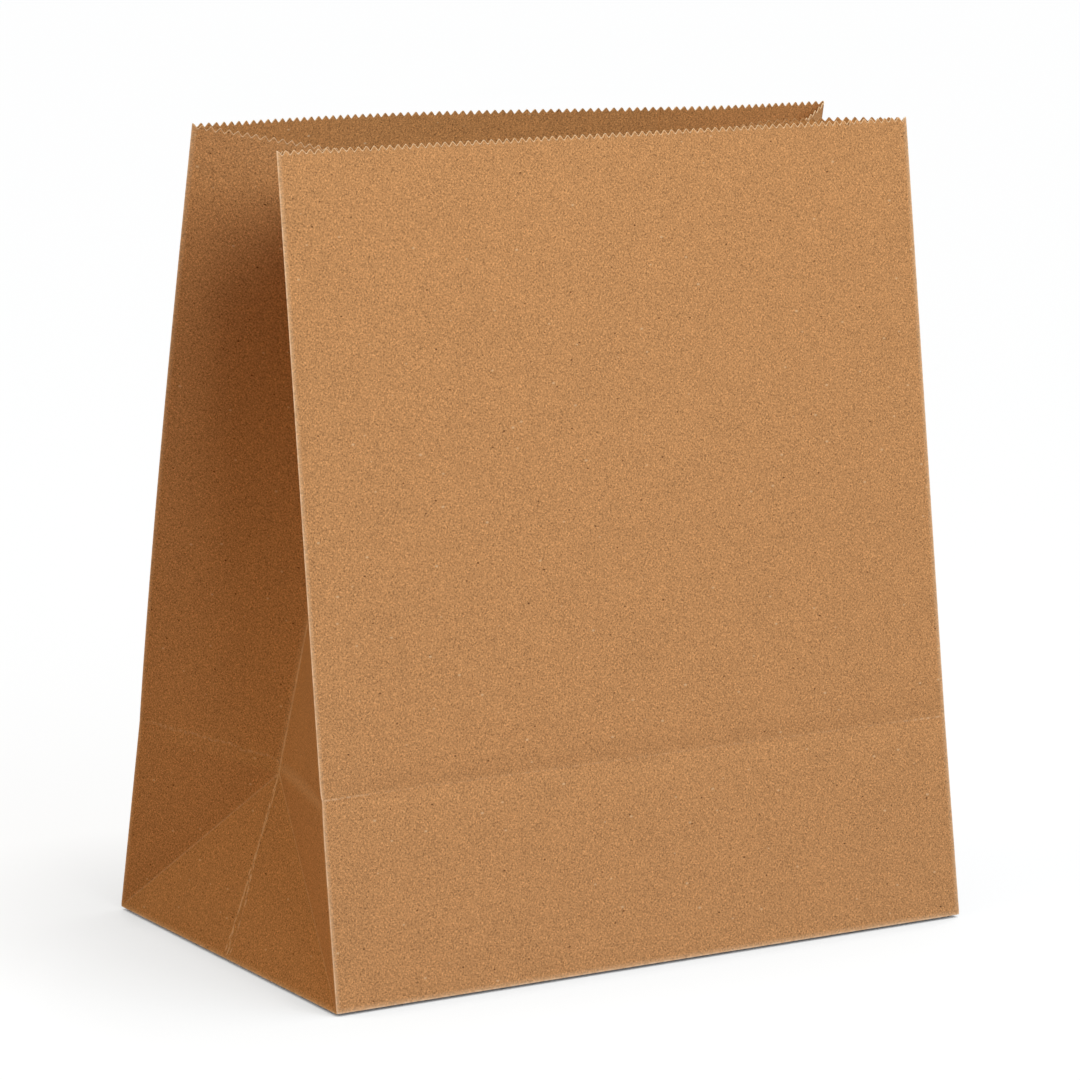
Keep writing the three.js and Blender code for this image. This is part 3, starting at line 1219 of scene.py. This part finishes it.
@dataclass
class PaperLook:
    """The paper's materials, which share one group for the fibres and one for the folds."""

    fibres: PaperFibres
    folds: FoldWearAndPaintedLight

    def material(self, finish: PaperFinish, fibres: bpy.types.NodeTree,
                 folds: bpy.types.NodeTree) -> bpy.types.Material:
        """Return one finish's material.

        Args:
            finish: The finish.
            fibres: The shared group of fibres.
            folds: The shared group of folds.

        Returns:
            The material.
        """
        material = bpy.data.materials.new(finish.name)
        material.use_nodes = True
        board = NodeBoard(material.node_tree)
        place = board.add("ShaderNodeUVMap", uv_map="paper").outputs[0]
        grain = board.add("ShaderNodeGroup", node_tree=fibres)
        wear = board.add("ShaderNodeGroup", node_tree=folds)
        for node in (grain, wear):
            board.tree.links.new(place, node.inputs["Place"])
        grain.inputs["Mottle"].default_value = finish.mottle
        grain.inputs["Fibre"].default_value = finish.fibre
        for name in FOLD_MARKS:
            mark = board.add("ShaderNodeAttribute", attribute_name=name.lower() + "_mm")
            board.tree.links.new(mark.outputs["Fac"], wear.inputs[name])
        # the fold group's tone paints shade above the crease and a highlight below it
        tone = board.times(grain.outputs["Tone"], wear.outputs["Tone"])
        color = board.add("ShaderNodeVectorMath", {0: finish.color, 3: tone}, operation="SCALE").outputs[0]
        coats = (
            (grain.outputs["Specks"], finish.speck_color),
            (board.times(grain.outputs["Flecks"], finish.fleck_strength), finish.fleck_color),
            # worn lines and the painted highlight band
            (board.times(wear.outputs["Wear And Highlight"], finish.wear), finish.fold_wear_and_highlight_color),
            # painted highlight along the cut rim
            (board.times(wear.outputs["Cut"], finish.cut), finish.cut_highlight_color),
        )
        for share, over in coats:
            color = board.mix(share, color, (*over, 1.0))
        height = board.plus(grain.outputs["Height"], wear.outputs["Height"])
        bump = board.add("ShaderNodeBump", {"Strength": finish.bump, "Distance": MM, "Height": height})
        shader = board.add("ShaderNodeBsdfPrincipled", {
            "Base Color": color, "Roughness": finish.roughness, "Specular IOR Level": finish.shine,
            "Normal": bump.outputs[0]})
        board.add("ShaderNodeOutputMaterial", {"Surface": shader.outputs[0]})
        return material

    def materials(self) -> dict[Finish, bpy.types.Material]:
        """Return the material of every finish."""
        groups = (self.fibres.group(), self.folds.group())
        return {finish: self.material(FINISHES[finish], *groups) for finish in Finish}


@dataclass
class PinkedMouth:
    """The Geometry Nodes that cut the teeth into the mouth and dress the sheet."""

    pinking: Pinking

    def tree(self) -> bpy.types.NodeTree:
        """Return the tree that cuts the teeth.

        Returns:
            The tree, whose inputs are the tooth's sizes, the seed and the materials.
        """
        inputs = {"Geometry": "NodeSocketGeometry", "Tooth Depth": "NodeSocketFloat",
                  "Roundness": "NodeSocketFloat", "Unevenness": "NodeSocketFloat", "Seed": "NodeSocketInt"}
        inputs |= {finish.name.title(): "NodeSocketMaterial" for finish in Finish}
        tree = new_group("pinked_mouth", "GeometryNodeTree", inputs, {"Geometry": "NodeSocketGeometry"})
        board = NodeBoard(tree)
        given = board.add("NodeGroupInput").outputs
        phase = self.mark(board, "phase")
        straight = board.minus(1.0, board.unsigned(board.minus(board.times(phase, 2.0), 1.0)))
        wave = board.math("COSINE", board.times(phase, 2 * math.pi))
        wave = board.times(board.minus(1.0, wave), 0.5)
        shape = board.add("ShaderNodeMix", {0: given["Roundness"], 2: straight, 3: wave})
        tooth = {"ID": self.mark(board, "tooth"), "Seed": given["Seed"]}
        chance = board.add("FunctionNodeRandomValue", tooth, data_type="FLOAT").outputs[1]
        uneven = board.times(board.centred(chance), given["Unevenness"])
        cut = board.times(shape.outputs[0], board.plus(uneven, 1.0))
        cut = board.times(cut, board.times(given["Tooth Depth"], MM), self.mark(board, "rim"))
        offset = board.add(
            "ShaderNodeVectorMath", {0: self.mark(board, "down", "FLOAT_VECTOR"), 3: cut}, operation="SCALE")
        moved = board.add("GeometryNodeSetPosition", {
            "Geometry": given["Geometry"], "Offset": offset.outputs[0]})
        last = board.add("GeometryNodeRealizeInstances", {"Geometry": moved.outputs[0]})
        kind = self.mark(board, "finish")
        for finish in Finish:
            here = board.add(
                "FunctionNodeCompare", {0: kind, 1: float(finish.value), "Epsilon": 0.1},
                data_type="FLOAT", operation="EQUAL")
            last = board.add("GeometryNodeSetMaterial", {
                "Geometry": last.outputs[0], "Selection": here.outputs[0],
                "Material": given[finish.name.title()]})
        board.add("NodeGroupOutput", {"Geometry": last.outputs[0]})
        return tree

    def mark(self, board: NodeBoard, name: str, kind: str = "FLOAT") -> Socket:
        """Return the value of a named mark of the mesh."""
        return board.add("GeometryNodeInputNamedAttribute", {"Name": name}, data_type=kind).outputs[0]

    def cut(self, piece: bpy.types.Object, materials: dict[Finish, bpy.types.Material]) -> bpy.types.Mesh:
        """Return the mesh of a piece with its teeth cut and its materials set.

        Args:
            piece: The object that holds the drafted sheet.
            materials: The material of each finish.

        Returns:
            A plain mesh. The modifier that made it is removed.
        """
        tree = self.tree()
        modifier = piece.modifiers.new("pinked_mouth", "NODES")
        modifier.node_group = tree
        values = {"Tooth Depth": self.pinking.depth, "Roundness": self.pinking.roundness,
                  "Unevenness": self.pinking.unevenness, "Seed": self.pinking.seed}
        values |= {finish.name.title(): material for finish, material in materials.items()}
        for item in tree.interface.items_tree:
            if item.name in values:
                modifier[item.identifier] = values[item.name]
        graph = bpy.context.evaluated_depsgraph_get()
        mesh = bpy.data.meshes.new_from_object(piece.evaluated_get(graph), depsgraph=graph)
        piece.modifiers.remove(modifier)
        return mesh


@dataclass
class Bag:
    """The bag: one sheet of paper with an outer and an inner face."""

    tube: Tube
    sharp_angle: float = 24.0
    inside_place: float = 500.0
    edge_place: float = 3000.0
    edge_step: float = 0.4

    def layers(self, walls: Walls, bottom: Bottom) -> Draft:
        """Return the closed sheet: the drafted face moved out and in, joined along the pinked edge.

        Args:
            walls: The tube's walls.
            bottom: The bag's bottom.

        Returns:
            The sheet without its flaps.
        """
        single = Draft()
        rim = walls.draft(single)
        bottom.draft(single)
        points, marks = single.stacked()
        normals = single.normals()
        outer = marks.pop("outer")[:, None]
        inner = marks.pop("inner")[:, None]
        sheet = Draft()
        sheet.add_points(points + normals * outer, **marks)
        second = sheet.add_points(points + normals * inner, **marks)
        for corners, paper in zip(single.faces, single.papers):
            sheet.add_face(corners, paper)
        for corners, paper in zip(single.faces, single.papers):
            moved = [(u, v + self.inside_place) for u, v in paper[::-1]]
            sheet.add_face(tuple(second + corner for corner in corners[::-1]), moved, Finish.INSIDE)
        low = self.edge_place
        high = low + self.tube.paper
        for k, (a, b) in enumerate(zip(rim, rim[1:] + rim[:1])):
            start = self.edge_step * k
            end = start + self.edge_step
            paper = [(start, low), (end, low), (end, high), (start, high)]
            sheet.add_face((a, b, second + b, second + a), paper, Finish.CUT_EDGE)
        return sheet

    def flaps(self, sheet: Draft, bottom: Bottom) -> None:
        """Add the two bottom flaps to the sheet.

        Args:
            sheet: The sheet that takes them.
            bottom: The bag's bottom.
        """
        flaps = Draft()
        bottom.flap(flaps, -1, True)
        bottom.flap(flaps, 1, False)
        points, marks = flaps.stacked()
        first = sheet.add_points(points, **marks)
        for corners, paper in zip(flaps.faces, flaps.papers):
            sheet.add_face(tuple(first + corner for corner in corners), paper)

    def mesh(self, sheet: Draft) -> bpy.types.Mesh:
        """Return the sheet as a mesh with its marks and paper places.

        Args:
            sheet: The drafted sheet.

        Returns:
            The mesh, with the teeth not yet cut.
        """
        points, marks = sheet.stacked()
        mesh = bpy.data.meshes.new("lunch_bag_draft")
        mesh.from_pydata((points * MM).tolist(), [], sheet.faces)
        layer = mesh.uv_layers.new(name="paper")
        places = np.array([place for paper in sheet.papers for place in paper], np.float32)
        layer.uv.foreach_set("vector", places.ravel())
        for name, value in marks.items():
            vector = value.ndim > 1
            mark = mesh.attributes.new(name, "FLOAT_VECTOR" if vector else "FLOAT", "POINT")
            mark.data.foreach_set("vector" if vector else "value", value.astype(np.float32).ravel())
        kinds = np.array([finish.value for finish in sheet.finishes], np.float32)
        mesh.attributes.new("finish", "FLOAT", "FACE").data.foreach_set("value", kinds)
        return mesh

    def build(self) -> bpy.types.Object:
        """Build the bag.

        Returns:
            The finished bag, with its place in its mesh.
        """
        walls = Walls(self.tube)
        bottom = Bottom(self.tube, walls.xs, walls.shares)
        sheet = self.layers(walls, bottom)
        self.flaps(sheet, bottom)
        draft = bpy.data.objects.new("lunch_bag_draft", self.mesh(sheet))
        bpy.context.scene.collection.objects.link(draft)
        look = PaperLook(PaperFibres(), FoldWearAndPaintedLight(self.tube.crease_paper, self.tube.half_depth))
        mesh = PinkedMouth(self.tube.pinking).cut(draft, look.materials())
        bpy.data.objects.remove(draft)
        mesh.name = "lunch_bag"
        for name in CUTTING_MARKS:
            if name in mesh.attributes:
                mesh.attributes.remove(mesh.attributes[name])
        mesh.polygons.foreach_set("use_smooth", [True] * len(mesh.polygons))
        mesh.set_sharp_from_angle(angle=math.radians(self.sharp_angle))
        bag = bpy.data.objects.new("lunch_bag", mesh)
        bpy.context.scene.collection.objects.link(bag)
        LOG.info("lunch_bag: %d faces", len(mesh.polygons))
        return bag


@dataclass(frozen=True)
class FarLight:
    """A wide soft light far away. Its way is in degrees, up from the floor and round to the right."""

    name: str
    color: Point
    strength: float
    elevation: float
    azimuth: float
    softness: float


@dataclass(frozen=True)
class NearLight:
    """A square soft light that shines on the bag from a place in metres."""

    name: str
    color: Point
    power: float
    place: Point
    size: float


@dataclass
class Studio:
    """The camera, the soft light and the pale floor."""

    yaw: float = -34.387
    elevation: float = 11.641
    roll: float = 2.071
    distance: float = 1525.9
    aim_height: float = 126.7
    shift: tuple[float, float] = (-5.55, -7.5)
    focal_share: float = 4.6002
    sensor: float = 36.0
    floor_size: float = 16.0
    floor_color: Point = (0.1, 0.11, 0.12)
    floor_bounce: Point = (0.62, 0.42, 0.29)
    floor_glow: float = 0.93
    # painted shadow on the floor's glow, from ambient occlusion tilted towards the light
    shade: float = 0.33
    shade_reach: float = 0.085
    shade_elevation: float = 45.0
    shade_azimuth: float = 45.0
    shade_range: tuple[float, float] = (0.1, 1.0)
    # painted contact shadow on the floor's glow in the gap under the bag
    contact_shadow_glow: float = 0.02
    contact_shadow_reach: float = 0.02
    contact_shadow_range: tuple[float, float] = (0.06, 0.42)
    ambient: Point = (0.02, 0.015, 0.01)
    backdrop: Point = (1.0, 1.0, 1.0)
    far_lights: tuple[FarLight, ...] = (
        FarLight("key", (0.82, 1.01, 1.26), 1.40, 38.0, 25.0, 65.0),
        FarLight("left", (1.0, 0.77, 0.46), 1.2, 48.0, -108.0, 40.0),
        FarLight("back", (1.0, 0.82, 0.64), 0.4, 35.0, 168.0, 60.0),
    )
    near_lights: tuple[NearLight, ...] = (
        NearLight("front", (1.0, 0.9, 0.67), 4.0, (0.0, -0.63, 0.71), 0.5),
    )

    def camera(self) -> bpy.types.Object:
        """Place the camera where the photograph was taken.

        Returns:
            The camera, which is the scene's own.
        """
        data = bpy.data.cameras.new("camera")
        data.sensor_width = self.sensor
        data.lens = self.focal_share * self.sensor
        data.clip_end = 50
        yaw, tilt, roll = (math.radians(angle) for angle in (self.yaw, self.elevation, self.roll))
        back = Vector((math.sin(yaw) * math.cos(tilt), -math.cos(yaw) * math.cos(tilt), math.sin(tilt)))
        level = Vector((math.cos(yaw), math.sin(yaw), 0))
        upright = back.cross(level)
        right = level * math.cos(roll) + upright * math.sin(roll)
        up = upright * math.cos(roll) - level * math.sin(roll)
        place = Vector((0, 0, self.aim_height)) + back * self.distance
        place = place + right * self.shift[0] + up * self.shift[1]
        camera = bpy.data.objects.new("camera", data)
        bpy.context.scene.collection.objects.link(camera)
        turn = Matrix((right, up, back)).transposed().to_4x4()
        camera.matrix_world = Matrix.Translation(place * MM) @ turn
        bpy.context.scene.camera = camera
        return camera

    def towards(self, elevation: float, azimuth: float) -> Vector:
        """Return the way to a light.

        Args:
            elevation: Its angle up from the floor.
            azimuth: Its angle round from the front to the right.

        Returns:
            The way, of length 1.
        """
        high = math.radians(elevation)
        around = math.radians(azimuth)
        level = math.cos(high)
        return Vector((level * math.sin(around), -level * math.cos(around), math.sin(high)))

    def floor(self) -> bpy.types.Object:
        """Build the pale floor, which glows for the camera, with a painted shadow round the bag where
        ambient occlusion dims the glow.

        Returns:
            The floor.
        """
        half = self.floor_size / 2
        corners = [(-half, -half, 0), (half, -half, 0), (half, half, 0), (-half, half, 0)]
        mesh = bpy.data.meshes.new("floor")
        mesh.from_pydata(corners, [], [(0, 1, 2, 3)])
        material = bpy.data.materials.new("pale_floor")
        material.use_nodes = True
        board = NodeBoard(material.node_tree)
        seen = board.add("ShaderNodeLightPath").outputs["Is Camera Ray"]
        towards = self.towards(self.shade_elevation, self.shade_azimuth)
        side = board.add("ShaderNodeCombineXYZ", dict(enumerate(towards))).outputs[0]
        # painted shadow: ambient occlusion dims the glow, wide towards the light and dark in the contact gap
        soft = board.add(
            "ShaderNodeAmbientOcclusion", {"Distance": self.shade_reach, "Normal": side}, samples=2)
        close = board.add("ShaderNodeAmbientOcclusion", {"Distance": self.contact_shadow_reach}, samples=2)
        shade = board.ramp(soft.outputs["AO"], *self.shade_range, 1 - self.shade, 1.0)
        contact_shadow = board.ramp(close.outputs["AO"], *self.contact_shadow_range, self.contact_shadow_glow, 1.0)
        shadowed_glow = board.times(shade, contact_shadow, self.floor_glow)
        color = board.mix(seen, (*self.floor_bounce, 1.0), (*self.floor_color, 1.0))
        shader = board.add("ShaderNodeBsdfPrincipled", {
            "Base Color": color, "Roughness": 1.0, "Specular IOR Level": 0.0, "Emission Color": (1, 1, 1, 1),
            "Emission Strength": board.times(seen, shadowed_glow)})
        board.add("ShaderNodeOutputMaterial", {"Surface": shader.outputs[0]})
        mesh.materials.append(material)
        floor = bpy.data.objects.new("floor", mesh)
        bpy.context.scene.collection.objects.link(floor)
        return floor

    def lights(self) -> None:
        """Add the white backdrop, the faint even light and the soft lights."""
        world = bpy.data.worlds.new("studio")
        world.use_nodes = True
        board = NodeBoard(world.node_tree)
        seen = board.add("ShaderNodeLightPath").outputs["Is Camera Ray"]
        color = board.mix(seen, (*self.ambient, 1.0), (*self.backdrop, 1.0))
        light = board.add("ShaderNodeBackground", {"Color": color})
        board.add("ShaderNodeOutputWorld", {"Surface": light.outputs[0]})
        bpy.context.scene.world = world
        for far in self.far_lights:
            data = bpy.data.lights.new(far.name, "SUN")
            data.energy = far.strength
            data.color = far.color
            data.angle = math.radians(far.softness)
            towards = self.towards(far.elevation, far.azimuth)
            self.place_light(data, towards, towards)
        for near in self.near_lights:
            data = bpy.data.lights.new(near.name, "AREA")
            data.energy = near.power
            data.color = near.color
            data.size = near.size
            place = Vector(near.place)
            self.place_light(data, place, place - Vector((0, 0, self.aim_height * MM)))

    def place_light(self, data: bpy.types.Light, place: Vector, back: Vector) -> None:
        """Add a light.

        Args:
            data: The light's data.
            place: Its place in metres.
            back: The way that its back is turned.
        """
        light = bpy.data.objects.new(data.name, data)
        bpy.context.scene.collection.objects.link(light)
        turn = back.to_track_quat("Z", "Y").to_matrix().to_4x4()
        light.matrix_world = Matrix.Translation(place) @ turn


def main() -> None:
    """Build the camera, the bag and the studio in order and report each."""
    logging.basicConfig(level=logging.INFO, format="%(message)s")
    studio = Studio()
    studio.camera()
    bpy.context.scene.view_settings.view_transform = "Standard"
    low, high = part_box(NODE)
    size = (high - low) / MM
    bag = Bag(Tube(round(size.x, 3), round(size.y, 3))).build()
    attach(bag, "root")
    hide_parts(NODE)
    studio.floor()
    studio.lights()
    bpy.context.view_layer.update()


if __name__ == "__main__":
    main()
